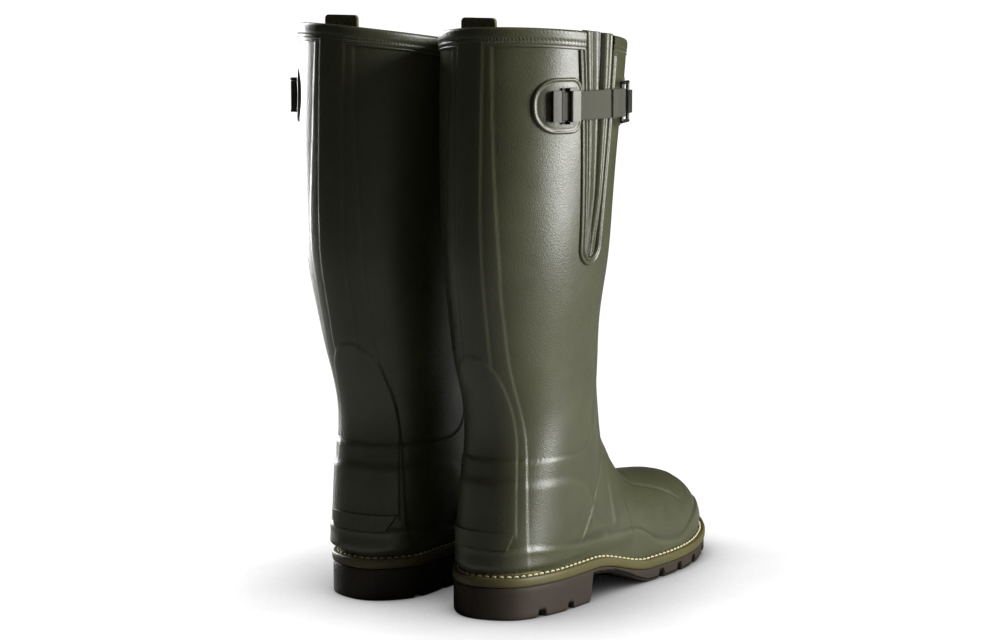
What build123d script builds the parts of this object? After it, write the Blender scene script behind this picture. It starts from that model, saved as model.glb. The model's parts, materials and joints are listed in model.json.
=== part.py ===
"""A pair of tall insulated rubber boots with a welted lugged sole and a strap-adjusted calf gusset.

One boot is modelled (the right one) and the left one is its mirror image.
Boot frame, in millimetres: +Y runs from the heel to the toe, +X to the wearer's outer side of the
right boot, +Z up, with Y = 0 at the back of the heel and Z = 0 on the floor.
"""
from build123d import *
import os
from math import atan2, cos, degrees, hypot, pi, radians, sin

# ---- driving dimensions -------------------------------------------------------------------------
BOOT_HEIGHT = 415.0          # floor to the nominal topline
PAIR_SPACING = 105.0         # between the two boots' own centre lines
PAIR_CENTRE_Y = 143.0        # boot-frame Y that becomes Y = 0 of the pair

HEEL_SEAT_Z = 31.0           # top of the welt under the heel
TREAD_SEAT_Z = 17.0          # top of the welt under the ball of the foot
SEAT_SLOPE_Y = (95.0, 170.0)  # where the seat drops from heel height to ball height
TOE_SPRING_Y = 215.0         # the sole starts to curve up here
TOE_SPRING = 10.0            # rise of the sole at the tip of the toe
TOE_TIP_Y = 304.0

WELT_THICK = 7.0
WELT_LEDGE = 4.0             # welt edge outside its stitch line
OUTSOLE_LEDGE = 3.2          # outsole edge outside the stitch line
HEEL_BREAST_Y = 92.0
WAIST_THICK = 5.0            # outsole under the waist
FOREPART_Y = 166.0           # where the forepart tread meets the floor
LUG_DEPTH = 5.0
LUG_GAP = 7.0
HEEL_LUG_GAPS = (32.0, 64.0)
FOREPART_LUG_GAPS = (182.0, 208.0, 234.0, 260.0, 284.0)

STITCH_PITCH = 5.4
STITCH_SIZE = (3.8, 1.1, 0.8)

RUBBER = 2.4                 # wall of the rubber upper
NEOPRENE = 3.6               # wall of the neoprene lining
GAP = 0.35                   # assembly gap between glued layers
SEAM_GAP = 1.2               # clearance over the foxing band's curved upper edge
LAYER = 1.3                  # thickness of a moulded-on reinforcement
FOXING = 2.0                 # thickness of the foxing band
BOARD_THICK = 2.05
FOOTBED_THICK = 5.4
SHANK_X = (-7.0, 12.0)
SHANK_Y = (48.0, 158.0)
SHANK_THICK = 1.6
SHANK_DEEP = 1.9             # from the welt's top face to the shank's underside

RIM_DROP = 4.5               # mean topline below its nominal height
RIM_TILT = 7.5               # degrees; the topline is highest at the outer back
RIM_TILT_HEADING = 25.0      # degrees round from the back, toward the outer side
RIM_CENTRE = (6.0, 63.0)
BINDING_TALL = 13.0

ANKLE_Z = 113.0              # top edge of the heel counter
COUNTER_FRONT_Y = 116.0
GUARD_APEX_Z = 190.0
GUARD_HALF_WIDTH = 23.0
GUARD_X = 2.0                # middle of the guard
STRIP_HALF_WIDTH = 10.5
INSTEP_FRONT_Y = 166.0
TOE_CAP_Y = 236.0
LEDGE_Z = (51.5, 63.0)
LEDGE_OUT = 5.5
LEDGE_HALF_WIDTH = 27.0

# V-shaped gusset in the outer side of the shaft, seen from the side (Y and Z)
GUSSET_Y = 54.5
GUSSET_BOTTOM_Z = 258.0
GUSSET_BOTTOM_HALF = 8.0
GUSSET_TOP_HALF = 17.5
GUSSET_TRIM = 5.5            # width of the moulded trim round the gusset

STRAP_Z = 366.0              # centre of the adjuster strap
WEBBING_TALL = 20.0
WEBBING_THICK = 1.5
PATCH = (40.0, 39.0)         # rear patch, round the leg and tall
PATCH_CORNER = 13.0
DIAMOND = (34.0, 37.0)       # front patch, round the leg and tall
PATCH_THICK = 1.8
BUCKLE_TALL = 25.0
LEVER_TALL = 21.0
PIN_RADIUS = 1.0
PIN_PLAY = 0.05
RING_BAR = 1.3               # radius of the ring's bar
RING_SIZE = (14.0, 27.0)     # round the leg and tall, between bar centres
TAKE_UP = 3.0                # degrees the strap can slide round the shaft
PULL_LOOP = (28.0, 2.4)      # width and thickness
PULL_LOOP_OVER_RIM = 6.0
PULL_LOOP_IN = 4.8           # from the lining's face to the loop, so that its flat edges clear the curve

# Outline of the welt's stitch line, outer side then inner side, from the heel to the toe.
STITCH_OUTLINE = [
    (2, 4), (26, 15), (38, 45), (41, 80), (42, 115), (45.5, 165), (47.5, 205), (43, 244),
    (30, 276), (4, 300), (-19, 288), (-36, 260), (-42.5, 225), (-42, 190), (-37, 145),
    (-33.5, 100), (-33.5, 60), (-32, 30), (-17, 9),
]

# Upper edge of the foxing band (Y, Z): it dips beside the ball of the foot and rises at the toe.
FOXING_LINE = [
    (-30, 51.5), (20, 51.2), (54, 48.4), (76, 45.8), (126, 43.6), (149, 42.6), (170, 37.2),
    (192, 27.4), (218, 24.6), (242, 32.3), (275, 41.0), (330, 43.0),
]

# The upper is lofted through closed sections. Forepart sections stand across the foot, ankle
# sections fan round a pivot in front of the ankle, and shaft sections lie level.
FAN_PIVOT = (175.0, 175.0)   # Y and Z
# (Y, top Z, bottom Z, outer half width, inner half width)
FOOT_STATIONS = [
    (294.0, 37, -2, 11, 10),
    (287.5, 45, -8, 20, 20),
    (276.0, 54.5, -12, 27.5, 28),
    (256.0, 65, -14, 35.5, 35),
    (230.0, 70.5, -15, 41.5, 39.5),
    (202.0, 74, -15, 42.5, 39.5),
]
WIDEST_PART = 0.46           # share of a forepart section's height that lies below its widest place
# (degrees from upright, near distance, far distance, distance of the widest place,
#  centre X, outer half width, inner half width, far-end squareness)
ANKLE_STATIONS = [
    (0.0, 95.0, 189.0, 143.0, 1.5, 40.5, 38.0, 3.0),
    (15.0, 79.5, 190.0, 140.0, 3.0, 36.5, 35.5, 2.8),
    (30.0, 65.5, 205.0, 142.0, 2.5, 36.0, 33.5, 2.7),
    (43.0, 58.5, 245.0, 142.0, 2.5, 38.5, 36.5, 2.6),
    (54.0, 54.5, 207.0, 130.0, 2.8, 40.0, 38.5, 2.5),
    (64.0, 53.0, 181.5, 120.0, 3.2, 41.0, 39.5, 2.4),
    (76.0, 52.5, 166.5, 112.0, 3.4, 42.3, 40.5, 2.2),
    (90.0, 52.5, 173.5, 113.0, 3.6, 45.0, 43.0, 2.1),
]
# (Z, back Y, front Y, centre X, outer half width, inner half width)
SHAFT_STATIONS = [
    (205.0, -6.2, 121.0, 4.5, 49.2, 46.3),
    (250.0, -14.5, 125.0, 6.3, 54.6, 50.7),
    (300.0, -16.5, 127.5, 7.0, 58.3, 53.3),
    (366.0, -15.0, 135.0, 6.5, 62.5, 55.8),
    (400.0, -13.5, 139.0, 6.3, 64.0, 56.2),
    (430.0, -12.5, 140.5, 6.3, 64.5, 56.4),
]
STRAP_STATION = 3            # the shaft section at the strap's height
RIM_STATION = 4              # the shaft section nearest to the topline
SECTION_POINTS = 12


def squashed(value, power):
    """A sine or cosine reshaped from an ellipse (power 2) toward a rounded box."""
    sign = 1 if value >= 0 else -1
    return sign * abs(value) ** (2 / power)


def section_wire(plane, near, far, widest, centre_x, outer, inner, near_power, far_power, grow):
    """One closed section; local X is the boot's X and local Y runs from the near to the far end."""
    def point(turn):
        side, along = sin(turn), -cos(turn)
        half = (outer if side >= 0 else inner) + grow
        power = far_power if along >= 0 else near_power
        reach = (far - widest if along >= 0 else widest - near) + grow
        x = centre_x + half * squashed(side, power)
        return plane.from_local_coords((x, widest + reach * squashed(along, power), 0))

    steps = SECTION_POINTS // 2
    outer_side = [point(pi * i / steps) for i in range(steps + 1)]
    inner_side = [point(pi + pi * i / steps) for i in range(steps + 1)]
    return Wire([Edge.make_spline(outer_side), Edge.make_spline(inner_side)])


def fan_plane(origin_y, origin_z, lean):
    """The plane whose local Y points down and then back as it leans from upright to level."""
    tilt = radians(lean)
    down = Vector(0, -sin(tilt), -cos(tilt))
    across = Vector(1, 0, 0)
    return Plane(origin=(0, origin_y, origin_z), x_dir=across, z_dir=across.cross(down))


def boot_form(grow):
    """The solid inside the boot's outer surface, grown (or shrunk) by an offset in each section."""
    wires = []
    for y, top, bottom, outer, inner in FOOT_STATIONS:
        widest = bottom + WIDEST_PART * (top - bottom)
        plane = fan_plane(y + (grow if y == FOOT_STATIONS[0][0] else 0), 0, 0)
        wires.append(section_wire(plane, -top, -bottom, -widest, 1.0, outer, inner,
                                  2.3, 3.0, grow))
    for lean, near, far, widest, centre_x, outer, inner, power in ANKLE_STATIONS:
        plane = fan_plane(*FAN_PIVOT, lean)
        wires.append(section_wire(plane, near, far, widest, centre_x, outer, inner,
                                  2.1, power, grow))
    for z, back, front, centre_x, outer, inner in SHAFT_STATIONS:
        plane = fan_plane(0, z, 90)
        wires.append(section_wire(plane, -front, -back, -(front + back) / 2, centre_x,
                                  outer, inner, 2.0, 2.0, grow))
    return Solid.make_loft(wires)


FORMS = {}


def form(grow):
    """boot_form, made once for each offset."""
    if grow not in FORMS:
        FORMS[grow] = boot_form(grow)
    return FORMS[grow]


def layer(inside, outside, region):
    """The part of a skin between two offsets of the boot's surface that lies in a region."""
    return (form(outside) & region) - form(inside)


# ---- heights along the sole -----------------------------------------------------------------------
def toe_rise(y):
    """How far the sole has curved up at Y."""
    run = max(0.0, y - TOE_SPRING_Y) / (TOE_TIP_Y - TOE_SPRING_Y)
    return TOE_SPRING * run ** 2


def seat_z(y):
    """Height of the welt's top face at Y."""
    start, end = SEAT_SLOPE_Y
    part = min(1.0, max(0.0, (y - start) / (end - start)))
    ease = part * part * (3 - 2 * part)
    return HEEL_SEAT_Z + (TREAD_SEAT_Z - HEEL_SEAT_Z) * ease + toe_rise(y)


def profile_slab(low, high, start=-30.0, end=330.0, left=-90.0, right=110.0):
    """The solid between two heights that vary with Y, across the whole boot."""
    count = 25
    stops = [start + (end - start) * i / (count - 1) for i in range(count)]
    bottom = Edge.make_spline([Vector(left, y, low(y)) for y in stops])
    top = Edge.make_spline([Vector(left, y, high(y)) for y in stops])
    back = Edge.make_line(bottom @ 0, top @ 0)
    front = Edge.make_line(bottom @ 1, top @ 1)
    return extrude(Face(Wire([bottom, front, top, back])), amount=right - left, dir=(1, 0, 0))


def side_prism(points, left, right):
    """A prism with a polygon in the YZ plane, from X = left to X = right."""
    return extrude(Face(Wire.make_polygon([Vector(left, y, z) for y, z in points])),
                   amount=right - left, dir=(1, 0, 0))


# ---- sole -----------------------------------------------------------------------------------------
def outline_points(grow):
    """The stitch outline moved outward by a distance."""
    moved = []
    count = len(STITCH_OUTLINE)
    for i, (x, y) in enumerate(STITCH_OUTLINE):
        ahead = STITCH_OUTLINE[(i + 1) % count]
        behind = STITCH_OUTLINE[i - 1]
        dx, dy = ahead[0] - behind[0], ahead[1] - behind[1]
        size = hypot(dx, dy)
        moved.append(Vector(x + grow * dy / size, y - grow * dx / size, 0))
    return moved


def outline_prism(grow, height=60.0):
    """An upright prism on the sole's outline, grown outward."""
    ring = Edge.make_spline(outline_points(grow), periodic=True)
    return extrude(Face(Wire([ring])), amount=height, dir=(0, 0, 1))


def make_outsole():
    """Heel block, arched waist and forepart tread with cross grooves, in one moulding."""
    below = WELT_THICK + GAP

    def tread_z(y):
        return toe_rise(y)

    body = outline_prism(OUTSOLE_LEDGE) & profile_slab(tread_z, lambda y: seat_z(y) - below)
    waist_top = seat_z(HEEL_BREAST_Y) - below - WAIST_THICK
    waist = side_prism([(HEEL_BREAST_Y - 4, -1), (HEEL_BREAST_Y, waist_top),
                        (HEEL_BREAST_Y + 28, waist_top - 2), (FOREPART_Y - 16, 6),
                        (FOREPART_Y, -1)], -90, 110)
    body -= waist
    for y in HEEL_LUG_GAPS + FOREPART_LUG_GAPS:
        roof = tread_z(y) + LUG_DEPTH
        body -= Pos(0, y, roof - 10) * Box(200, LUG_GAP, 20)
    return body


def shank_space(play, tall):
    """The strip that the shank fills, just under the welt's top face, with play all round."""
    def floor(y):
        return seat_z(y) - SHANK_DEEP - play

    return profile_slab(floor, lambda y: floor(y) + tall, SHANK_Y[0] - play, SHANK_Y[1] + play,
                        SHANK_X[0] - play, SHANK_X[1] + play)


def make_welt():
    body = outline_prism(WELT_LEDGE) & profile_slab(lambda y: seat_z(y) - WELT_THICK, seat_z)
    return body - shank_space(GAP, 2 * SHANK_DEEP)


def make_shank():
    return shank_space(0.0, SHANK_THICK)


def make_welt_stitches():
    """Lock stitches standing on the welt along the stitch outline."""
    ring = Edge.make_spline(outline_points(0.0), periodic=True)
    count = round(ring.length / STITCH_PITCH)
    stitches = []
    for i in range(count):
        place = ring.position_at(i / count)
        along = ring.tangent_at(i / count)
        ahead = seat_z(place.Y + along.Y) - seat_z(place.Y - along.Y)
        slope = degrees(atan2(ahead, 2.0))
        heading = degrees(atan2(along.Y, along.X))
        lift = seat_z(place.Y) + STITCH_SIZE[2] / 2 + GAP
        spot = Location((place.X, place.Y, lift)) * Rotation(0, 0, heading) * Rotation(0, -slope, 0)
        stitches.append(spot * Box(*STITCH_SIZE))
    return Compound(children=stitches)


def above_seat(clearance):
    """Everything above the welt's top face by a clearance."""
    return profile_slab(lambda y: seat_z(y) + clearance, lambda y: BOOT_HEIGHT + 60)


# ---- topline --------------------------------------------------------------------------------------
def rim_cut(drop):
    """Everything above the tilted topline, lowered by a distance."""
    heading = radians(RIM_TILT_HEADING)
    uphill = Vector(sin(heading), -cos(heading), 0)
    level = Vector(0, 0, 1)
    tilt = radians(RIM_TILT)
    normal = level * cos(tilt) - uphill * sin(tilt)
    plane = Plane(origin=(*RIM_CENTRE, BOOT_HEIGHT - RIM_DROP - drop), x_dir=uphill.cross(normal),
                  z_dir=normal)
    return plane * (Pos(0, 0, 100) * Box(400, 400, 200))


def gusset_outline(grow):
    """The gusset's opening in the outer side of the shaft, grown by a distance."""
    top = BOOT_HEIGHT + 20
    low = GUSSET_BOTTOM_Z - grow
    half = GUSSET_BOTTOM_HALF + grow
    top_half = GUSSET_TOP_HALF + grow
    points = [(GUSSET_Y - top_half, top), (GUSSET_Y - half, low + half)]
    for turn in (30, 60, 90, 120, 150):
        points.append((GUSSET_Y - half * cos(radians(turn)), low + half - half * sin(radians(turn))))
    points += [(GUSSET_Y + half, low + half), (GUSSET_Y + top_half, top)]
    return side_prism(points, 30, 110)


# ---- upper ----------------------------------------------------------------------------------------
def make_rubber_upper():
    shell = (form(0.0) & above_seat(GAP)) - form(-RUBBER)
    return shell - stitch_channel() - rim_cut(0.0) - gusset_outline(0.0)


def make_neoprene_lining():
    inside = -RUBBER - GAP
    shell = (form(inside) & above_seat(GAP)) - form(inside - NEOPRENE)
    return shell - stitch_channel() - rim_cut(2.0)


def make_gusset_panel():
    panel = layer(-RUBBER, -0.7, gusset_outline(-GAP))
    return panel - rim_cut(3.0)


def make_gusset_trim():
    ring = gusset_outline(GUSSET_TRIM) - gusset_outline(GAP)
    return layer(GAP, LAYER + 0.2, ring) - rim_cut(BINDING_TALL + GAP)


def make_top_binding():
    band = rim_cut(BINDING_TALL) - rim_cut(0.6)
    return layer(GAP, LAYER, band) - gusset_outline(0.5)


def foxing_top(y):
    """Height of the foxing band's upper edge at Y."""
    for (start, low), (end, high) in zip(FOXING_LINE, FOXING_LINE[1:]):
        if y <= end:
            part = max(0.0, (y - start) / (end - start))
            return low + (high - low) * part * part * (3 - 2 * part)
    return FOXING_LINE[-1][1]


def stitch_channel():
    """Room for the welt's stitches: a low space outside a line just inside the stitch line."""
    slab = profile_slab(lambda y: seat_z(y) - GAP, lambda y: seat_z(y) + STITCH_SIZE[2] + 3 * GAP)
    return slab - outline_prism(-STITCH_SIZE[1] / 2 - GAP)


def make_foxing_band():
    band = layer(GAP, FOXING, profile_slab(lambda y: seat_z(y) + GAP, foxing_top))
    return band - stitch_channel()


def make_heel_counter():
    """Moulded stiffener round the heel and ankle, with a rounded front edge."""
    region = profile_slab(lambda y: foxing_top(y) + SEAM_GAP, lambda y: ANKLE_Z, -30, COUNTER_FRONT_Y)
    nose = Pos(0, COUNTER_FRONT_Y, ANKLE_Z) * Rotation(0, 90, 0) * Cylinder(26, 300)
    return layer(GAP, LAYER, region) - nose


def make_kick_off_ledge():
    """The shelf at the back of the heel, widest at its sharp top edge."""
    low, high = LEDGE_Z
    half = LEDGE_HALF_WIDTH
    outline = [(-half + 6, low), (half - 4, low), (half, high), (-half, high)]
    face = Face(Wire.make_polygon([Vector(x, -40, z) for x, z in outline]))
    region = extrude(face, amount=70, dir=(0, 1, 0))
    body = layer(LAYER + GAP, LEDGE_OUT, region)
    under = side_prism([(-40, low - 1), (-40, high - 2), (3.5, low - 1)], -90, 110)
    return body - under


def back_region(points):
    """A prism through the back of the boot with a polygon in the XZ plane."""
    face = Face(Wire.make_polygon([Vector(x, -60, z) for x, z in points]))
    return extrude(face, amount=100, dir=(0, 1, 0))


def guard_outline(grow):
    """The arch of the guard over the tendon, seen from behind."""
    half = GUARD_HALF_WIDTH + grow
    spring = GUARD_APEX_Z - GUARD_HALF_WIDTH
    points = [(GUARD_X - half, ANKLE_Z + 0.4 - grow)]
    for i in range(13):
        turn = radians(180 - 15 * i)
        points.append((GUARD_X + half * cos(turn), spring + half * sin(turn)))
    points.append((GUARD_X + half, ANKLE_Z + 0.4 - grow))
    return points


def make_achilles_guard():
    return layer(GAP, LAYER, back_region(guard_outline(0.0)))


def make_back_strip():
    half = STRIP_HALF_WIDTH
    middle = RIM_CENTRE[0]
    low, high = GUARD_APEX_Z - GUARD_HALF_WIDTH, BOOT_HEIGHT + 20
    strip = back_region([(middle - half, low), (middle + half, low),
                         (middle + half, high), (middle - half, high)])
    strip -= back_region(guard_outline(GAP))
    return layer(GAP, LAYER, strip) - rim_cut(BINDING_TALL + GAP)


def make_instep_guard():
    region = profile_slab(lambda y: foxing_top(y) + SEAM_GAP, lambda y: 128.0,
                          COUNTER_FRONT_Y + 0.5, INSTEP_FRONT_Y)
    return layer(GAP, LAYER, region)


def make_toe_cap():
    region = profile_slab(lambda y: foxing_top(y) + SEAM_GAP, lambda y: 100.0, TOE_CAP_Y, 330)
    return layer(GAP, LAYER, region)


# ---- inside the foot ------------------------------------------------------------------------------
def insole_layer(low, thick):
    """A flat layer inside the lining, from a height over the welt's top face."""
    slab = profile_slab(lambda y: seat_z(y) + low, lambda y: seat_z(y) + low + thick)
    return form(-RUBBER - NEOPRENE - 4 * GAP) & slab


def make_insole_board():
    return insole_layer(GAP, BOARD_THICK)


def make_footbed():
    return insole_layer(2 * GAP + BOARD_THICK, FOOTBED_THICK)


# ---- strap hardware -------------------------------------------------------------------------------
def shaft_point(turn):
    """A point of the shaft's surface at strap height, by degrees round from the back."""
    z, back, front, centre_x, outer, inner = SHAFT_STATIONS[STRAP_STATION]
    half = outer if turn >= 0 else inner
    x = centre_x + half * sin(radians(turn))
    y = (back + front) / 2 - (front - back) / 2 * cos(radians(turn))
    return x, y


def circle_through(a, b, c):
    """Centre and radius of the circle through three points."""
    d = 2 * (a[0] * (b[1] - c[1]) + b[0] * (c[1] - a[1]) + c[0] * (a[1] - b[1]))
    sa, sb, sc = (p[0] ** 2 + p[1] ** 2 for p in (a, b, c))
    x = (sa * (b[1] - c[1]) + sb * (c[1] - a[1]) + sc * (a[1] - b[1])) / d
    y = (sa * (c[0] - b[0]) + sb * (a[0] - c[0]) + sc * (b[0] - a[0])) / d
    return x, y, hypot(a[0] - x, a[1] - y)


# The strap and its fittings lie on a cylinder that follows the outer side of the shaft.
AXIS_X, AXIS_Y, SHAFT_R = circle_through(shaft_point(58), shaft_point(84), shaft_point(110))


def bearing_of(turn):
    """Direction from the strap axis to a point of the shaft, in degrees from +X."""
    x, y = shaft_point(turn)
    return degrees(atan2(y - AXIS_Y, x - AXIS_X))


TIP_AT = bearing_of(53.0)
BUCKLE_AT = bearing_of(61.5)
RING_AT = bearing_of(107.0)
KEEPER_AT = RING_AT + degrees(RING_SIZE[0] / 2 / (SHAFT_R + 5))

PATCH_TOP = SHAFT_R + PATCH_THICK
BASE_R = (PATCH_TOP + 0.3, PATCH_TOP + 1.6)
WEB_R = (BASE_R[1] + 0.25, BASE_R[1] + 0.25 + WEBBING_THICK)
LEVER_R = (WEB_R[1] + 0.3, WEB_R[1] + 3.1)
PIN_R = (LEVER_R[0] + LEVER_R[1]) / 2


def arc_angle(length, radius=None):
    """The angle in degrees that an arc of this length turns through on the strap's cylinder."""
    return degrees(length / (radius or WEB_R[0]))


def arc_block(start, end, inner_r, outer_r, tall, centre_z=STRAP_Z):
    """A curved block between two bearings and two radii on the strap's cylinder."""
    def at(radius, bearing):
        turn = radians(bearing)
        return Vector(AXIS_X + radius * cos(turn), AXIS_Y + radius * sin(turn), centre_z - tall / 2)

    middle = (start + end) / 2
    outer = Edge.make_three_point_arc(at(outer_r, start), at(outer_r, middle), at(outer_r, end))
    inner = Edge.make_three_point_arc(at(inner_r, start), at(inner_r, middle), at(inner_r, end))
    ends = [Edge.make_line(inner @ 0, outer @ 0), Edge.make_line(inner @ 1, outer @ 1)]
    return extrude(Face(Wire([outer, inner, *ends])), amount=tall, dir=(0, 0, 1))


def on_cylinder(radius, bearing, z=STRAP_Z):
    """A place on the strap's cylinder, with local X pointing out and local Y running round it."""
    turn = radians(bearing)
    spot = (AXIS_X + radius * cos(turn), AXIS_Y + radius * sin(turn), z)
    return Location(spot) * Rotation(0, 0, bearing)


def upright_rod(radius, bearing, rod_radius, tall, z=STRAP_Z):
    return on_cylinder(radius, bearing, z) * Cylinder(rod_radius, tall)


def make_rear_patch():
    across, tall = PATCH
    middle = bearing_of(56.5)
    plate = fillet(Box(40, across, tall).edges().filter_by(Axis.X), PATCH_CORNER)
    beside_gusset = gusset_outline(GUSSET_TRIM + GAP)
    return layer(GAP, PATCH_THICK, on_cylinder(SHAFT_R, middle) * plate) - beside_gusset


def make_front_patch():
    across, tall = DIAMOND
    corners = [Vector(0, across / 2, 0), Vector(0, 0, tall / 2),
               Vector(0, -across / 2, 0), Vector(0, 0, -tall / 2)]
    plate = extrude(Face(Wire.make_polygon(corners)), amount=20, dir=(1, 0, 0), both=True)
    beside_gusset = gusset_outline(GUSSET_TRIM + GAP)
    return layer(GAP, PATCH_THICK, on_cylinder(SHAFT_R, KEEPER_AT + 4) * plate) - beside_gusset


def make_buckle_base():
    """A curved plate with an ear at each end that carries the lever's pin."""
    half = arc_angle(5.8)
    plate = arc_block(BUCKLE_AT - half, BUCKLE_AT + half, *BASE_R, BUCKLE_TALL)
    ear_tall = (BUCKLE_TALL - LEVER_TALL) / 2 - 0.25
    ear_half = arc_angle(2.6)
    for side in (-1, 1):
        z = STRAP_Z + side * (BUCKLE_TALL - ear_tall) / 2
        plate += arc_block(BUCKLE_AT - ear_half, BUCKLE_AT + ear_half, BASE_R[0], LEVER_R[1],
                           ear_tall, z)
    return plate - upright_rod(PIN_R, BUCKLE_AT, PIN_RADIUS, BUCKLE_TALL + 2)


def make_buckle_pin():
    return upright_rod(PIN_R, BUCKLE_AT, PIN_RADIUS, BUCKLE_TALL)


def make_buckle_lever():
    """The bright bar that presses on the webbing; it opens outward about its pin."""
    bar = arc_block(BUCKLE_AT, BUCKLE_AT + arc_angle(6.0), *LEVER_R, LEVER_TALL)
    bar += upright_rod(PIN_R, BUCKLE_AT, (LEVER_R[1] - LEVER_R[0]) / 2, LEVER_TALL)
    return bar - upright_rod(PIN_R, BUCKLE_AT, PIN_RADIUS + PIN_PLAY, LEVER_TALL + 2)


def make_strap_webbing():
    """Webbing from the buckle across the gusset, folded round the ring's rear bar."""
    start = BUCKLE_AT - arc_angle(7.0)
    bar_at = RING_AT - arc_angle(RING_SIZE[0] / 2)
    loop_r = RING_BAR + 0.2
    bar_r = WEB_R[0] + loop_r + WEBBING_THICK
    band = arc_block(start, bar_at, *WEB_R, WEBBING_TALL)
    band += upright_rod(bar_r, bar_at, loop_r + WEBBING_THICK, WEBBING_TALL)
    return band - upright_rod(bar_r, bar_at, loop_r, WEBBING_TALL + 2)


def make_strap_ring():
    """A rectangular ring of round bar."""
    bar_r = WEB_R[0] + RING_BAR + 0.2 + WEBBING_THICK
    half = arc_angle(RING_SIZE[0] / 2)
    tall = RING_SIZE[1]
    ring = upright_rod(bar_r, RING_AT - half, RING_BAR, tall)
    ring += upright_rod(bar_r, RING_AT + half, RING_BAR, tall)
    for side in (-1, 1):
        ring += on_cylinder(bar_r - 0.25, RING_AT, STRAP_Z + side * tall / 2) * (
            Rotation(90, 0, 0) * Cylinder(RING_BAR, RING_SIZE[0] + 2 * RING_BAR))
    return ring


def make_ring_keeper():
    """The fixed loop sewn to the front patch; its slot lets the ring's front bar travel."""
    bar_r = WEB_R[0] + RING_BAR + 0.2 + WEBBING_THICK
    slot = RING_BAR + 0.35
    start, end = KEEPER_AT - TAKE_UP, KEEPER_AT
    half = arc_angle(slot + 1.4)
    block = arc_block(start - half, end + half, PATCH_TOP + 0.7, bar_r + slot + 1.2, 16.0)
    hole = arc_block(start, end, bar_r - slot, bar_r + slot, 20.0)
    for bearing in (start, end):
        hole += upright_rod(bar_r, bearing, slot, 20.0)
    return block - hole


def make_strap_tail():
    """The free end of the webbing, behind the buckle."""
    start = TIP_AT - arc_angle(1.5)
    return arc_block(start, BUCKLE_AT - arc_angle(7.4), *WEB_R, WEBBING_TALL)


def make_strap_tip():
    """The metal clip that closes the webbing's end."""
    half = arc_angle(3.0)
    clip = arc_block(TIP_AT - half, TIP_AT + half, WEB_R[0] - 0.9, WEB_R[1] + 1.1,
                     WEBBING_TALL + 1.6)
    return clip - arc_block(TIP_AT - arc_angle(1.7), TIP_AT + half + 1, WEB_R[0] - 0.15,
                            WEB_R[1] + 0.15, WEBBING_TALL + 0.3)


# ---- pull loop ------------------------------------------------------------------------------------
def pull_loop_plate(low, high, thick):
    """An upright plate just inside the lining at the back of the topline."""
    width = PULL_LOOP[0]
    lining_y = SHAFT_STATIONS[RIM_STATION][1] + RUBBER + NEOPRENE + PULL_LOOP_IN
    return Pos(RIM_CENTRE[0], lining_y + thick / 2, (low + high) / 2) * fillet(
        Box(width, thick, high - low).edges().filter_by(Axis.Y), 3.0)


def make_pull_loop():
    return pull_loop_plate(BOOT_HEIGHT - 24, BOOT_HEIGHT + PULL_LOOP_OVER_RIM + 5, PULL_LOOP[1])


def make_pull_loop_anchor():
    return pull_loop_plate(BOOT_HEIGHT - 50, BOOT_HEIGHT - 24.5, PULL_LOOP[1] - 0.8)


BOOT_PARTS = {
    "outsole": make_outsole,
    "welt": make_welt,
    "welt_stitches": make_welt_stitches,
    "shank": make_shank,
    "insole_board": make_insole_board,
    "footbed": make_footbed,
    "rubber_upper": make_rubber_upper,
    "neoprene_lining": make_neoprene_lining,
    "foxing_band": make_foxing_band,
    "toe_cap": make_toe_cap,
    "instep_guard": make_instep_guard,
    "heel_counter": make_heel_counter,
    "kick_off_ledge": make_kick_off_ledge,
    "achilles_guard": make_achilles_guard,
    "back_strip": make_back_strip,
    "top_binding": make_top_binding,
    "gusset_panel": make_gusset_panel,
    "gusset_trim": make_gusset_trim,
    "rear_patch": make_rear_patch,
    "front_patch": make_front_patch,
    "buckle_base": make_buckle_base,
    "buckle_pin": make_buckle_pin,
    "buckle_lever": make_buckle_lever,
    "strap_webbing": make_strap_webbing,
    "strap_ring": make_strap_ring,
    "ring_keeper": make_ring_keeper,
    "strap_tail": make_strap_tail,
    "strap_tip": make_strap_tip,
    "pull_loop": make_pull_loop,
    "pull_loop_anchor": make_pull_loop_anchor,
}


def build_pair():
    """Writes every piece of both boots, the left one mirrored from the right one."""
    os.makedirs("parts", exist_ok=True)
    place = Pos(PAIR_SPACING / 2, -PAIR_CENTRE_Y, 0)
    for name, make in BOOT_PARTS.items():
        right = place * make()
        export_step(right, f"parts/right_{name}.step")
        export_step(mirror(right, about=Plane.YZ), f"parts/left_{name}.step")


build_pair()
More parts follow.
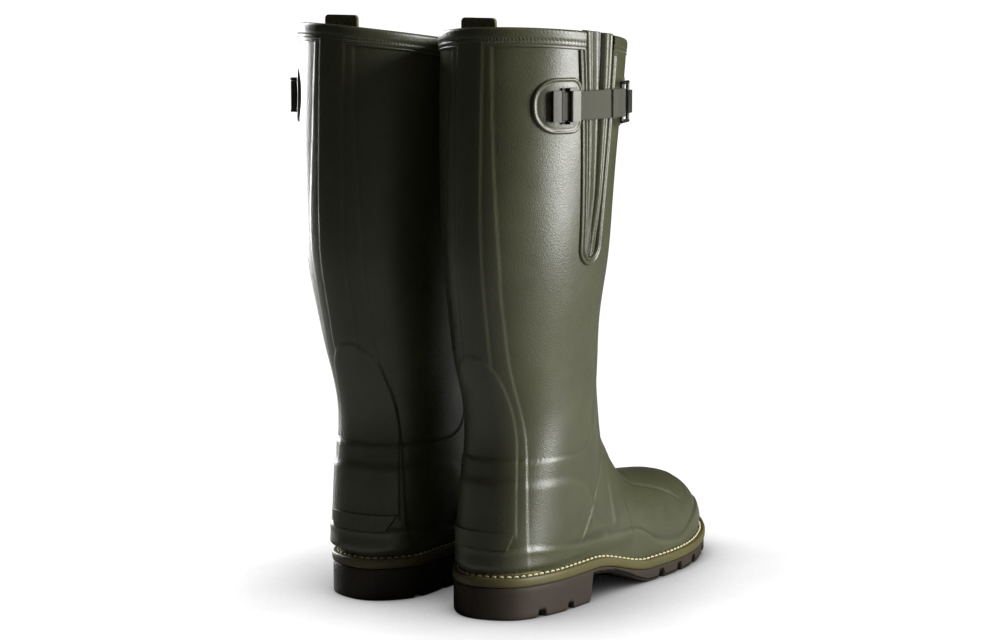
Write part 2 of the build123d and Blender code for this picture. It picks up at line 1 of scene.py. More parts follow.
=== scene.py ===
import bpy
import json
import numpy as np
from math import ceil, cos, degrees, pi, radians, sin, sqrt, tan
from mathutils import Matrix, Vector


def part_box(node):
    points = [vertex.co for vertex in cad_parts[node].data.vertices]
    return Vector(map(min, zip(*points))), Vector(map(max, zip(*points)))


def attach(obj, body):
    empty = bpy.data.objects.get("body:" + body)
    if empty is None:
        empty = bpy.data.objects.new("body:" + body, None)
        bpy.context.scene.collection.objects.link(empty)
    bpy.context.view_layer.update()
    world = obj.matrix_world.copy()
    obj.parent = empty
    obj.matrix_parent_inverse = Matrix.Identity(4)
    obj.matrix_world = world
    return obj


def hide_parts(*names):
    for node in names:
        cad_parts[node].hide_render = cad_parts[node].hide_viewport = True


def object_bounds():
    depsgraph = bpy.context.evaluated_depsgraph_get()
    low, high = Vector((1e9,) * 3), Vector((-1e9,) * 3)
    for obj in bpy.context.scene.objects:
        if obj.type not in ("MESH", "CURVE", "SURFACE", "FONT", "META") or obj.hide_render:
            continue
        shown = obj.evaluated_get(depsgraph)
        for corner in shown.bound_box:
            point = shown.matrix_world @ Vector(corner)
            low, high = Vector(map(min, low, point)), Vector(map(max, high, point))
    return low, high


# A pair of insulated rubber boots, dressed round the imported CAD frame. Shapes are worked out in the
# right boot's own frame, in millimetres: +Y heel to toe, +X to the outer side, Z up from the floor,
# Y = 0 at the back of the heel. add_pair() turns them into metres, in the frame, for both boots.
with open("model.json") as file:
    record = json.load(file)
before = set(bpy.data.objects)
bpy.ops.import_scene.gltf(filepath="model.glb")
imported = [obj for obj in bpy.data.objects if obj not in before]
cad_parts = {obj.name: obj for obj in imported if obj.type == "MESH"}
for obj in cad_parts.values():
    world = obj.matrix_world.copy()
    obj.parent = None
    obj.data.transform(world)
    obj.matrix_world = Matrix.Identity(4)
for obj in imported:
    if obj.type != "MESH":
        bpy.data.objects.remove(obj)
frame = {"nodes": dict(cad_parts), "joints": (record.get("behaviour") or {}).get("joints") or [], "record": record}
cad_low, cad_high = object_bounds()

MM = 0.001
SIDES = (("right", 1.0), ("left", -1.0))


# ---- where the boot stands in the frame -------------------------------------------------------------
HEEL_MOUNT = (2.0, 14.0)             # the heel's resting place in the boot's own frame
MOUNT_AT = next(m for m in frame["record"]["mounts"] if m["name"] == "right_heel_base")["pos_m"]
BOOT_AT = np.array([MOUNT_AT[0] / MM - HEEL_MOUNT[0], MOUNT_AT[1] / MM - HEEL_MOUNT[1], 0.0])


def node_box(node):
    """Lowest and highest corner of one of the right boot's CAD nodes, in the boot's own frame."""
    low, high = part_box("right_" + node)
    return np.array(low) / MM - BOOT_AT, np.array(high) / MM - BOOT_AT


STRAP_LOW, STRAP_HIGH = node_box("strap_webbing")
STRAP_Z = (STRAP_LOW[2] + STRAP_HIGH[2]) / 2
WEBBING_TALL = STRAP_HIGH[2] - STRAP_LOW[2]

# ---- driving dimensions, the same as the frame's ----------------------------------------------------
RUBBER = 2.4                         # wall of the rubber upper
WALL = 6.35                          # rubber, glue gap and neoprene together
LAYER = 1.3                          # a moulded-on reinforcement
BINDING_TALL = 13.0
RIM_Z = 410.5
RIM_CENTRE = (6.0, 63.0)
RIM_TILT = radians(7.5)
RIM_HEADING = radians(25.0)
SEAT_HIGH, SEAT_LOW = 31.0, 17.0
SEAT_SLOPE = (95.0, 170.0)
TOE_SPRING_Y, TOE_TIP_Y, TOE_SPRING = 215.0, 304.0, 10.0
WELT_THICK, WELT_LEDGE = 7.0, 4.0
GUSSET_Y, GUSSET_LOW = 54.5, 258.0
GUSSET_HALF = (8.0, 17.5)            # half width at the round bottom and at GUSSET_TOP
GUSSET_TOP = 435.0
TRIM_WIDE = 5.5

STITCH_OUTLINE = [
    (2, 4), (26, 15), (38, 45), (41, 80), (42, 115), (45.5, 165), (47.5, 205), (43, 244),
    (30, 276), (4, 300), (-19, 288), (-36, 260), (-42.5, 225), (-42, 190), (-37, 145),
    (-33.5, 100), (-33.5, 60), (-32, 30), (-17, 9),
]

# Sections of the upper: across the foot, then fanned round the ankle, then level up the shaft.
# (Y, top Z, bottom Z, outer half width, inner half width)
FOOT_SECTIONS = [
    (294.0, 37, -2, 11, 10), (287.5, 45, -8, 20, 20), (276.0, 54.5, -12, 27.5, 28),
    (256.0, 65, -14, 35.5, 35), (230.0, 70.5, -15, 41.5, 39.5), (202.0, 74, -15, 42.5, 39.5),
]
FOOT_WIDEST = 0.46                   # share of a foot section's height below its widest place
FAN_PIVOT = (175.0, 175.0)
# (lean in degrees, near, far, widest, centre X, outer, inner, squareness at the far end)
ANKLE_SECTIONS = [
    (0, 95, 189, 143, 1.5, 40.5, 38, 3.0), (15, 79.5, 190, 140, 3, 36.5, 35.5, 2.8),
    (30, 65.5, 205, 142, 2.5, 36, 33.5, 2.7), (43, 58.5, 245, 142, 2.5, 38.5, 36.5, 2.6),
    (54, 54.5, 207, 130, 2.8, 40, 38.5, 2.5), (64, 53, 181.5, 120, 3.2, 41, 39.5, 2.4),
    (76, 52.5, 166.5, 112, 3.4, 42.3, 40.5, 2.2), (90, 52.5, 173.5, 113, 3.6, 45, 43, 2.1),
]
# (Z, back Y, front Y, centre X, outer half width, inner half width)
SHAFT_SECTIONS = [
    (205, -6.2, 121, 4.5, 49.2, 46.3), (250, -14.5, 125, 6.3, 54.6, 50.7),
    (300, -16.5, 127.5, 7.0, 58.3, 53.3), (366, -15.0, 135.0, 6.5, 62.5, 55.8),
    (400, -13.5, 139.0, 6.3, 64.0, 56.2), (430, -12.5, 140.5, 6.3, 64.5, 56.4),
]
FIRST_SHAFT = len(FOOT_SECTIONS) + len(ANKLE_SECTIONS)
WARP_FROM = FIRST_SHAFT + 2          # rows above this section lean with the topline

COLUMNS = 320
TURNS = np.arange(COLUMNS) * 2 * pi / COLUMNS    # 0 at the front, pi at the back, outer side first
SKIN_STEP = (1.7, 1.35)              # spacing of rows round the ankle and elsewhere


# ---- the upper's surface ----------------------------------------------------------------------------
def squashed(value, power):
    return np.sign(value) * np.abs(value) ** (2 / power)


def section(origin, lean, near, far, widest, centre_x, outer, inner, powers, grow):
    """One closed section; it runs from its near end to its far end and back."""
    side, along = np.sin(TURNS), -np.cos(TURNS)
    half = np.where(side >= 0, outer, inner) + grow
    power = np.where(along >= 0, powers[1], powers[0])
    reach = np.where(along >= 0, far - widest, widest - near) + grow
    down = widest + reach * squashed(along, power)
    tilt = radians(lean)
    return np.stack([centre_x + half * squashed(side, power),
                     origin[0] - down * sin(tilt), origin[1] - down * cos(tilt)], -1)


def all_sections(grow):
    rows = []
    for y, top, bottom, outer, inner in FOOT_SECTIONS:
        widest = bottom + FOOT_WIDEST * (top - bottom)
        rows.append(section((y, 0), 0, -top, -bottom, -widest, 1.0, outer, inner, (2.3, 3.0), grow))
    for lean, near, far, widest, centre_x, outer, inner, power in ANKLE_SECTIONS:
        rows.append(section(FAN_PIVOT, lean, near, far, widest, centre_x, outer, inner,
                            (2.1, power), grow))
    for z, back, front, centre_x, outer, inner in SHAFT_SECTIONS:
        rows.append(section((0, z), 90, -front, -back, -(front + back) / 2, centre_x,
                            outer, inner, (2.0, 2.0), grow))
    return np.array(rows)


class Surface:
    """A smooth surface through the sections; grow moves it in or out."""

    def __init__(self, grow=0.0):
        self.rows = all_sections(grow)
        chords = np.linalg.norm(np.diff(self.rows, axis=0), axis=2)
        self.chords = chords.max(1)
        self.knots = np.concatenate([[0.0], np.cumsum(chords.mean(1))])
        self.bends = self.natural_bends()
        self.high = np.linspace(self.knots[FIRST_SHAFT], self.knots[-1], 200)
        self.high_z = self.at(self.high)[:, 0, 2]

    def natural_bends(self):
        """Second derivatives of the natural spline through the rows."""
        count, gaps = len(self.knots), np.diff(self.knots)
        system, right = np.eye(count), np.zeros_like(self.rows)
        for i in range(1, count - 1):
            before, after = gaps[i - 1], gaps[i]
            system[i, i - 1:i + 2] = before, 2 * (before + after), after
            right[i] = 6 * ((self.rows[i + 1] - self.rows[i]) / after
                            - (self.rows[i] - self.rows[i - 1]) / before)
        return np.linalg.solve(system, right.reshape(count, -1)).reshape(self.rows.shape)

    def at(self, place):
        """Points at places along the boot: one place for each row, or for each point."""
        place = np.asarray(place, float)
        if place.ndim == 1:
            place = np.repeat(place[:, None], COLUMNS, 1)
        i = np.clip(np.searchsorted(self.knots, place, side="right") - 1, 0, len(self.knots) - 2)
        column = np.arange(COLUMNS)[None, :]
        gap = (self.knots[i + 1] - self.knots[i])[..., None]
        b = (place - self.knots[i])[..., None] / gap
        a = 1 - b
        return (a * self.rows[i, column] + b * self.rows[i + 1, column]
                + ((a ** 3 - a) * self.bends[i, column]
                   + (b ** 3 - b) * self.bends[i + 1, column]) * gap ** 2 / 6)

    def place_of(self, z):
        """The place along the shaft where it has a height."""
        return np.interp(z, self.high_z, self.high)

    def shaft_ellipse(self, z):
        """Centre X and Y, outer, inner and fore-aft half widths of the shaft at heights."""
        rings = self.at(self.place_of(np.atleast_1d(z)))
        quarter = COLUMNS // 4
        front, outer, back, inner = (rings[:, quarter * k] for k in range(4))
        centre_x = front[:, 0]
        return (centre_x, (front[:, 1] + back[:, 1]) / 2, outer[:, 0] - centre_x,
                centre_x - inner[:, 0], (front[:, 1] - back[:, 1]) / 2)


def rim_z(x, y, drop=0.0):
    """Height of the tilted topline over a point."""
    uphill = (x - RIM_CENTRE[0]) * sin(RIM_HEADING) - (y - RIM_CENTRE[1]) * cos(RIM_HEADING)
    return RIM_Z - drop + tan(RIM_TILT) * uphill


def toe_rise(y):
    return TOE_SPRING * (np.maximum(0.0, y - TOE_SPRING_Y) / (TOE_TIP_Y - TOE_SPRING_Y)) ** 2


def seat_z(y):
    """Height of the welt's top face."""
    part = np.clip((np.asarray(y, float) - SEAT_SLOPE[0]) / (SEAT_SLOPE[1] - SEAT_SLOPE[0]), 0, 1)
    return SEAT_HIGH + (SEAT_LOW - SEAT_HIGH) * part * part * (3 - 2 * part) + toe_rise(y)


def gusset_half(z, grow=0.0):
    """Half width of the gusset's opening at a height; zero or less below it."""
    low_half = GUSSET_HALF[0] + grow
    round_z = GUSSET_LOW + GUSSET_HALF[0]
    slope = (GUSSET_HALF[1] - GUSSET_HALF[0]) / (GUSSET_TOP - round_z)
    above = low_half + slope * (z - round_z)
    below = np.sqrt(np.maximum(low_half ** 2 - (round_z - z) ** 2, 0.0))
    return np.where(z >= round_z, above, below)


def on_shaft(y, z, lift=0.0):
    """Points on the outer side of the shaft at given Y and Z, lifted off the surface, and normals."""
    centre_x, centre_y, outer, _, reach = OUTSIDE.shaft_ellipse(z)
    along = np.clip((y - centre_y) / reach, -1, 1)
    across = np.sqrt(1 - along ** 2)
    normal = np.stack([across / outer, along / reach, np.zeros_like(along)], -1)
    normal /= np.linalg.norm(normal, axis=-1, keepdims=True)
    base = np.stack([centre_x + outer * across, centre_y + along * reach, z + np.zeros_like(along)], -1)
    return base + normal * np.asarray(lift)[..., None], normal


OUTSIDE = Surface()


# ---- mesh tools -------------------------------------------------------------------------------------
def grid_faces(rows, columns, wrap=False, start=0):
    """Quads over a grid of points; wrap joins the last column to the first."""
    r = np.arange(rows - 1)[:, None] * columns + start
    c = np.arange(columns if wrap else columns - 1)[None, :]
    n = (c + 1) % columns
    return np.stack([r + c, r + n, r + columns + n, r + columns + c], -1).reshape(-1, 4)


def grid_normals(points, wrap=True):
    """Unit normals of a grid of points: the way along its rows crossed with the way up them."""
    if wrap:
        across = np.roll(points, -1, 1) - np.roll(points, 1, 1)
    else:
        across = np.gradient(points, axis=1)
    normal = np.cross(across, np.gradient(points, axis=0))
    return normal / np.maximum(np.linalg.norm(normal, axis=2, keepdims=True), 1e-9)


def drop_unused(points, faces, marks):
    """Leaves out points that no face uses."""
    used = np.unique(faces)
    renumber = np.zeros(len(points), int)
    renumber[used] = np.arange(len(used))
    return points[used], renumber[faces], {k: v[used] for k, v in marks.items()}


def add_pair(name, points, faces, look, body="boot", stands_for=(), marks=None,
             flat=False):
    """Makes a piece for both boots, the left one mirrored, riding on that boot's body."""
    made = []
    for side, sign in SIDES:
        placed = (points + BOOT_AT) * MM * (sign, 1, 1)
        wound = [list(f) if sign > 0 else list(f)[::-1] for f in faces]
        mesh = bpy.data.meshes.new(f"{side}_{name}")
        mesh.from_pydata(placed.tolist(), [], wound)
        for mark, values in (marks or {}).items():
            attribute = mesh.attributes.new(mark, "FLOAT", "POINT")
            attribute.data.foreach_set("value", np.asarray(values, np.float32))
        mesh.polygons.foreach_set("use_smooth", [not flat] * len(mesh.polygons))
        mesh.materials.append(look)
        piece = bpy.data.objects.new(f"{side}_{name}", mesh)
        bpy.context.scene.collection.objects.link(piece)
        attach(piece, f"{side}_{body}")
        if stands_for:
            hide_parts(*(f"{side}_{node}" for node in stands_for))
        made.append(piece)
    return made


def dress_node(node, look, bevel=0.0):
    """Gives a CAD node of both boots its material, and optionally soft edges."""
    for side, _ in SIDES:
        piece = frame["nodes"][f"{side}_{node}"]
        piece.data.materials.clear()
        piece.data.materials.append(look)
        if bevel:
            merge = piece.modifiers.new("merge", "WELD")
            merge.merge_threshold = 0.01 * MM
            flatten = piece.modifiers.new("flatten", "DECIMATE")
            flatten.decimate_type = "DISSOLVE"
            flatten.angle_limit = radians(1.0)
            soften = piece.modifiers.new("soften", "BEVEL")
            soften.width = bevel * MM
            soften.segments = 2
            soften.limit_method = "ANGLE"
            soften.angle_limit = radians(35)


def smooth_line(points, steps=8, closed=False):
    """A Catmull-Rom curve through points."""
    p = np.asarray(points, float)
    if closed:
        p = np.vstack([p[-1:], p, p[:2]])
    else:
        p = np.vstack([2 * p[0] - p[1], p, 2 * p[-1] - p[-2]])
    t = np.linspace(0, 1, steps, endpoint=False)[:, None]
    parts = []
    for a, b, c, d in zip(p[:-3], p[1:-2], p[2:-1], p[3:]):
        parts.append(0.5 * (2 * b + (c - a) * t + (2 * a - 5 * b + 4 * c - d) * t ** 2
                            + (3 * b - a - 3 * c + d) * t ** 3))
    line = np.vstack(parts)
    return line if closed else np.vstack([line, p[-2:-1]])


def resampled(line, step, closed=False):
    """The same line with evenly spaced points, and the distance along it."""
    if closed:
        line = np.vstack([line, line[:1]])
    run = np.concatenate([[0], np.cumsum(np.linalg.norm(np.diff(line, axis=0), axis=1))])
    count = max(2, int(round(run[-1] / step)))
    at = np.linspace(0, run[-1], count + 1)
    if closed:
        at = at[:-1]
    return np.stack([np.interp(at, run, line[:, k]) for k in range(line.shape[1])], -1), at


def ease(value):
    value = np.clip(value, 0, 1)
    return value * value * (3 - 2 * value)


def line_distance(u, v, line):
    """Distance from points to a line of short segments."""
    best = np.full(u.shape, 1e9)
    for (ax, ay), (bx, by) in zip(line[:-1], line[1:]):
        dx, dy = bx - ax, by - ay
        t = np.clip(((u - ax) * dx + (v - ay) * dy) / (dx * dx + dy * dy + 1e-12), 0, 1)
        best = np.minimum(best, np.hypot(u - ax - t * dx, v - ay - t * dy))
    return best


def inside_distance(u, v, outline):
    """Signed distance to a closed outline, positive inside."""
    ring = np.vstack([outline, outline[:1]])
    inside = np.zeros(u.shape, bool)
    for (ax, ay), (bx, by) in zip(ring[:-1], ring[1:]):
        if ay != by:
            crosses = (ay > v) != (by > v)
            inside ^= crosses & (u < (bx - ax) * (v - ay) / (by - ay) + ax)
    return np.where(inside, 1, -1) * line_distance(u, v, ring)


# ---- relief of the moulded upper --------------------------------------------------------------------
EDGE = 1.3                           # width over which a moulded edge rises
STITCH_CLEAR = 1.1                   # bare ledge inside the welt's stitches
# Curves in side view (Y, Z) unless they say otherwise.
FOXING_TOP = [(-30, 51.5), (20, 51.2), (37, 49.7), (54, 48.4), (76, 45.8), (102, 44.6), (126, 43.6),
              (149, 42.6), (161, 41.0), (170, 37.2), (180, 31.5), (192, 27.4), (206, 25.0),
              (218, 24.6), (230, 27.8), (242, 32.3), (256, 37.0), (275, 41.0), (300, 43.0)]
SHAFT_PANEL = [(-60, 113.5), (40, 113.5), (66, 113.8), (80, 116.5), (89, 122), (94, 131), (96, 145),
               (94.5, 165), (90, 185), (84, 205), (78, 225), (72, 250)]
BACK_PANEL_HALF = [(20, 33.0), (66, 29.5), (114, 27.5), (172, 22.4), (231, 21.4), (268, 21.8),
                   (350, 18.2), (430, 16.2)]       # (Z, half width)
BACK_CENTRE = [(20, 1.5), (110, 2.4), (172, 4.2), (250, 6.3), (430, 6.3)]   # (Z, X)
GUARD = [(-25, 60), (-24, 100), (-22.5, 140), (-20, 162), (-15.5, 178), (-8, 187.5), (1, 190.5),
         (10, 187.5), (17.5, 178), (21.5, 162), (23.5, 140), (25, 100), (26, 60)]   # rear view (X, Z)
PAD = [(-60, 53), (-60, 98), (30, 98.5), (62, 98), (76, 94.5), (88, 85), (95, 74), (100.5, 61),
       (104, 48)]
INSTEP_RIDGE = [(80, 48), (88, 60), (96, 72.5), (105, 84), (112, 94), (117, 106), (118, 122),
                (115, 140), (111, 165)]
SOFT_RIDGE = [(125, 98), (126, 84), (127.5, 68), (129.5, 52)]
VAMP_EDGE = [(141.5, 92), (143, 82), (144.7, 72.6), (146.8, 62), (149.5, 52), (151, 42)]
SADDLE = [(0, 158), (16, 163), (25, 173), (27.5, 190), (31, 207), (34, 219), (36.5, 229), (34, 241),
          (24, 252), (10, 257), (0, 258)]          # plan view (|X|, Y)


def height_along(curve, y):
    points = smooth_line(curve)
    return np.interp(y, points[:, 0], points[:, 1])


def relief(points):
    """How far each point of the skin stands out."""
    x, y, z = points[..., 0], points[..., 1], points[..., 2]
    centre = np.interp(z, *np.array(BACK_CENTRE).T)
    panel = height_along(BACK_PANEL_HALF, z) - np.abs(x - centre)
    behind = ease((62 - y) / 14)
    height = 0.7 * ease(panel / EDGE + 0.5) * behind
    height += 0.7 * ease(inside_distance(x, z, smooth_line(GUARD, 4)) / EDGE + 0.5) * behind
    strip = 10.5 - np.abs(x - centre)
    height += 0.7 * ease(strip / EDGE + 0.5) * behind * ease((z - 176) / 14)

    panel_line = smooth_line(SHAFT_PANEL, 5)
    shaft_panel = np.vstack([panel_line, [(72, 500), (-60, 500)]])
    fade = 1 - ease((z - 165) / 70)
    height += 0.7 * ease(0.5 - inside_distance(y, z, shaft_panel) / EDGE) * fade

    pad = inside_distance(y, z, smooth_line(PAD, 4, closed=True))
    height += 0.9 * ease(pad / 7.0 + 0.3)
    side = ease((np.abs(x - 1) - 8) / 10)
    height += 1.0 * np.exp(-(line_distance(y, z, smooth_line(INSTEP_RIDGE, 4)) / 2.2) ** 2) * side
    height += 0.7 * np.exp(-(line_distance(y, z, smooth_line(SOFT_RIDGE, 4)) / 3.0) ** 2) * side

    vamp = smooth_line(VAMP_EDGE, 4)
    ahead = y - np.interp(z, vamp[::-1, 1], vamp[::-1, 0])
    height += 0.8 * ease(0.5 - ahead / EDGE) * ease((z - 30) / 10) * ease((y - 45) / 35)
    saddle = inside_distance(np.abs(x - 1), y, smooth_line(SADDLE + [(-6, 258), (-6, 158)], 4))
    top = ease((z - 45) / 12)
    height += (0.45 * ease(saddle / EDGE + 0.5) - 0.5 * np.exp(-(saddle / 0.9) ** 2)) * top

    foxing = height_along(FOXING_TOP, y) - z
    height += 1.3 * ease(foxing / (2 * EDGE) + 0.5)
    height += waviness(x, y, z)
    return height


def waviness(x, y, z):
    """The slow unevenness of hand-laid rubber."""
    return 0.16 * (np.sin(x / 9.0 + y / 13.0) * np.sin(z / 21.0 + 1.3)
                   + 0.6 * np.sin(y / 7.0 - z / 17.0 + 0.5) * np.sin(x / 12.0 + z / 31.0))


def blurred(values, times=3):
    for _ in range(times):
        values = (values + np.roll(values, 1, 1) + np.roll(values, -1, 1)) / 3
        values[1:-1] = (values[:-2] + values[1:-1] + values[2:]) / 3
    return values


def skin_places():
    """Places along the boot for the skin's rows, denser where its columns are short."""
    places = []
    for i, chord in enumerate(OUTSIDE.chords):
        ankle = len(FOOT_SECTIONS) <= i < FIRST_SHAFT
        count = ceil(chord / SKIN_STEP[0 if ankle else 1])
        places.append(np.linspace(OUTSIDE.knots[i], OUTSIDE.knots[i + 1], count, endpoint=False))
    return np.concatenate(places + [OUTSIDE.knots[-1:]])


def lean_with_rim(surface, places, drop):
    """Rows whose upper part leans until the last one lies on the topline."""
    points = surface.at(places)
    base = all_sections(0)[WARP_FROM, 0, 2]
    top = points[-1, 0, 2]
    level = points[..., 2]
    target = base + (level - base) * (rim_z(points[..., 0], points[..., 1], drop) - base) / (top - base)
    moved = np.where(level > base, surface.place_of(target), places[:, None])
    return surface.at(moved)


def toe_rows(first):
    """Rows that round the tip of the toe off, ahead of the first section."""
    tip_y = first[:, 1].mean() + 2.5
    centre = np.array([1.0, 0.0, 20.0])
    rows = []
    for share in (0.12, 0.3, 0.48, 0.64, 0.78, 0.9):
        row = centre + (first - centre) * share
        row[:, 1] = tip_y - 2.5 * share ** 2
        rows.append(row)
    return np.array(rows)


def clear_of_stitches(points):
    """Draws the foot of the skin in, so that the stitched ledge of the welt stays open."""
    edge, _ = outline(-STITCH_CLEAR, 4.0)
    low = points[..., 2] < seat_z(points[..., 1]) + 8
    foot = points[low]
    over = np.maximum(0.0, -inside_distance(foot[:, 0], foot[:, 1], edge))
    share = ease((seat_z(foot[:, 1]) + 7 - foot[:, 2]) / 6)
    middle = np.column_stack([np.full(len(foot), 1.0), np.clip(foot[:, 1], 35, 262)])
    inward = middle - foot[:, :2]
    inward /= np.maximum(np.linalg.norm(inward, axis=1, keepdims=True), 1e-6)
    foot[:, :2] += inward * (over * share)[:, None]
    points[low] = foot
    return points


def make_skin(look):
    """The moulded rubber upper with its reinforcements, open at the top and at the gusset."""
    body = lean_with_rim(OUTSIDE, skin_places(), 1.0)
    base = np.concatenate([toe_rows(body[0]), body])
    height = relief(base)
    points = base - grid_normals(base) * height[..., None]
    points = clear_of_stitches(points)
    under = seat_z(points[..., 1]) - 1.5
    points[..., 2] = np.maximum(points[..., 2], under)
    # The relief's hollows are marked for painted shade (partly dust), and its raised edges for a painted highlight
    # (partly wear).
    fine = height - blurred(height.copy(), 4)
    marks = {"wear_and_highlight": np.clip(fine * 2.5, 0, 1).ravel(), "dust_and_shade": np.clip(-fine * 2.5, 0, 1).ravel()}
    faces = grid_faces(len(points), COLUMNS, wrap=True)[:, ::-1]
    flat = points.reshape(-1, 3)
    middle = flat[faces].mean(1)
    hole = (np.abs(middle[:, 1] - GUSSET_Y) < gusset_half(middle[:, 2]) + 0.5) & (middle[:, 0] > 30)
    hole &= middle[:, 2] > GUSSET_LOW - 1
    flat, faces, marks = drop_unused(flat, faces[~hole], marks)
    return add_pair("moulded_upper", flat, faces, look, stands_for=(
        "rubber_upper", "foxing_band", "heel_counter", "achilles_guard", "back_strip",
        "instep_guard", "toe_cap"), marks=marks)


# ---- topline binding --------------------------------------------------------------------------------
BINDING_COLUMNS = 960
# (drop below the topline, distance out from the surface), from the outside, over the rim, inside
BINDING_PROFILE = [
    (13.4, 0.0), (13.2, 0.7), (12.7, 1.15), (12.1, 1.0), (11.6, 0.75), (11.1, 1.0), (10.6, 1.3),
    (9.8, 1.35), (8.8, 1.2), (8.1, 1.0), (7.4, 1.15), (6.6, 1.5), (5.6, 1.6), (4.6, 1.6),
    (3.6, 1.6), (2.6, 1.6), (1.6, 1.5), (0.8, 1.2), (0.2, 0.5), (0.0, -0.6), (0.2, -2.4),
    (0.5, -4.4), (1.0, -6.2), (1.8, -7.3), (3.0, -7.6), (5.0, -7.5), (7.0, -7.2), (8.6, -6.6),
]


def ring_at(z_of, columns, grow=0.0):
    """A closed ring on the shaft at heights given by a function of X and Y, with normals."""
    turns = np.arange(columns) * 2 * pi / columns
    z = np.full(columns, RIM_Z)
    for _ in range(3):
        cx, cy, outer, inner, reach = OUTSIDE.shaft_ellipse(z)
        half = np.where(np.sin(turns) >= 0, outer, inner)
        x, y = cx + half * np.sin(turns), cy + reach * np.cos(turns)
        z = z_of(x, y)
    normal = np.stack([np.sin(turns) / half, np.cos(turns) / reach, np.zeros(columns)], -1)
    normal /= np.linalg.norm(normal, axis=1, keepdims=True)
    return np.stack([x, y, z], -1) + normal * grow, normal, turns


def make_binding(look, thread):
    rows = []
    for drop, out in BINDING_PROFILE:
        ring, normal, turns = ring_at(lambda x, y: rim_z(x, y, drop), BINDING_COLUMNS)
        zigzag = 0.10 * np.sin(turns * 150 + drop * 2.2) * (2 < drop < 7 and out > 0)
        rows.append(ring + normal * (out + zigzag)[:, None] if np.ndim(zigzag) else
                    ring + normal * out)
    points = np.array(rows)
    faces = grid_faces(len(rows), BINDING_COLUMNS, wrap=True)[:, ::-1]
    flat = points.reshape(-1, 3)
    middle = flat[faces].mean(1)
    hole = (np.abs(middle[:, 1] - GUSSET_Y) < gusset_half(middle[:, 2], 0.3)) & (middle[:, 0] > 30)
    flat, faces, _ = drop_unused(flat, faces[~hole], {})
    add_pair("rim_binding", flat, faces, look, stands_for=("top_binding",))
    stitch_rows = []
    for drop, count, lean in ((7.9, 170, 35), (10.0, 170, -35)):
        ring, normal, turns = ring_at(lambda x, y: rim_z(x, y, drop), count)
        along = np.roll(ring, -1, 0) - np.roll(ring, 1, 0)
        for at, out, way in zip(ring, normal, along):
            if at[0] > 30 and abs(at[1] - GUSSET_Y) < gusset_half(at[2]) + 1.0:
                continue
            way = way / np.linalg.norm(way)
            tilted = way * cos(radians(lean)) + np.array([0, 0, sin(radians(lean))])
            stitch_rows.append((at + out * 1.2, tilted, out))
    make_stitches("rim_stitches", stitch_rows, (1.9, 0.55, 0.5), thread)


def make_stitches(name, places, size, look, stands_for=()):
    """Short rounded stitches, each along its own direction and standing on its own normal."""
    sides, rings = 6, ((-1.0, 0.35), (-0.75, 0.85), (0.0, 1.0), (0.75, 0.85), (1.0, 0.35))
    points, faces = [], []
    for at, way, out in places:
        way = way / np.linalg.norm(way)
        side = np.cross(out, way)
        side /= np.linalg.norm(side)
        up = np.cross(way, side)
        start = len(points)
        for along, wide in rings:
            sag = (1 - along * along) * size[2] * 0.4
            for k in range(sides):
                turn = 2 * pi * k / sides
                points.append(at + way * along * size[0] / 2 + up * sag
                              + side * cos(turn) * wide * size[1] / 2
                              + up * sin(turn) * wide * size[2] / 2)
        for r in range(len(rings) - 1):
            for k in range(sides):
                n = (k + 1) % sides
                a, b = start + r * sides, start + (r + 1) * sides
                faces.append([a + k, a + n, b + n, b + k])
        faces.append([start + k for k in range(sides)][::-1])
        faces.append([start + (len(rings) - 1) * sides + k for k in range(sides)])
    add_pair(name, np.array(points), faces, look, stands_for=stands_for)


# ---- calf gusset ------------------------------------------------------------------------------------
# (share across the opening, lift off the shaft's surface) at the top; folds flatten lower down
PLEATS = [(0.0, -1.6), (0.05, 0.0), (0.09, 1.2), (0.14, 1.5), (0.18, 0.7), (0.21, 0.5), (0.25, 1.2),
          (0.31, 2.2), (0.37, 2.3), (0.41, 1.0), (0.43, -0.8), (0.45, -2.1), (0.51, -2.4),
          (0.57, -2.3), (0.6, -1.2), (0.63, 0.6), (0.68, 1.9), (0.75, 2.0), (0.81, 1.0),
          (0.85, 0.5), (0.9, 1.1), (0.95, 0.3), (1.0, -1.6)]


def make_gusset_panel(look):
    fold = smooth_line(PLEATS, 4)
    share, lift = fold[:, 0], fold[:, 1]
    low = GUSSET_LOW + 0.6
    top = rim_z(on_shaft(np.array([GUSSET_Y]), np.array([400.0]))[0][0, 0], GUSSET_Y) + 0.5
    rows = []
    for level in np.linspace(0, 1, 130):
        z = low + (top - low) * level
        half = max(gusset_half(z) + 0.9, 1.2)
        y = GUSSET_Y + (share * 2 - 1) * half
        z_here = z + (rim_z(66.0, y) - rim_z(66.0, GUSSET_Y)) * level ** 3
        opened = ease(level * 3.0)
        flatter = lift * (0.25 + 0.75 * opened) - 1.0 * (1 - opened)
        rows.append(on_shaft(y, z_here, flatter)[0])
    points = np.array(rows)
    inner = points - grid_normals(points, wrap=False) * 0.9
    rims = len(points) * len(share)
    flat = np.vstack([points.reshape(-1, 3), inner.reshape(-1, 3)])
    faces = grid_faces(len(points), len(share)).tolist()
    back = grid_faces(len(points), len(share), start=rims)[:, ::-1].tolist()
    last = (len(points) - 1) * len(share)
    edge = [[last + k, last + k + 1, rims + last + k + 1, rims + last + k]
            for k in range(len(share) - 1)]
    # Painted shade: the deepest valley of the pleats is marked to be painted nearly black.
    valley_shade = np.tile(np.clip((-0.9 - lift) / 0.7, 0, 1) * (np.abs(share - 0.5) < 0.2), len(points))
    marks = {"dust_and_shade": np.tile(valley_shade, 2), "wear_and_highlight": np.zeros(2 * len(valley_shade))}
    add_pair("pleated_gusset", flat, faces + back + edge, look,
             stands_for=("gusset_panel",), marks=marks)


